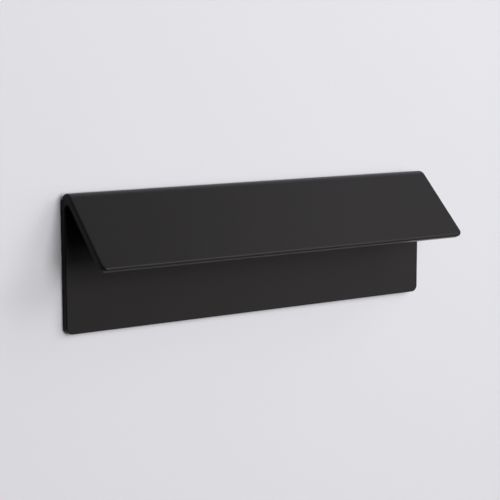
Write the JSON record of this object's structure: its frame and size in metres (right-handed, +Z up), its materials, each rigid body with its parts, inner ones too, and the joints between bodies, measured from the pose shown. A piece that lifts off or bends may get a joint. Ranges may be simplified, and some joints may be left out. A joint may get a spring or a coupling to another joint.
{
  "type": "tab pull",
  "caption": "Black tab pull in one piece: an upright back plate, a rounded ridge along the top, and a flap sloping forward and down that fingers hook behind to open a drawer or door.",
  "frame": {"origin": "on the flat back face, midway between the two screw holes", "axes": "+X along the pull, +Y out of the back face towards the door or drawer front, +Z up, with the flap on the -Y side"},
  "size_m": [0.1524, 0.0281, 0.047],
  "materials": {
    "black_coat": "satin",
    "bare_thread": "satin"
  },
  "bodies": {
    "root": {"tab_pull": "black_coat"}
  },
  "joints": []
}
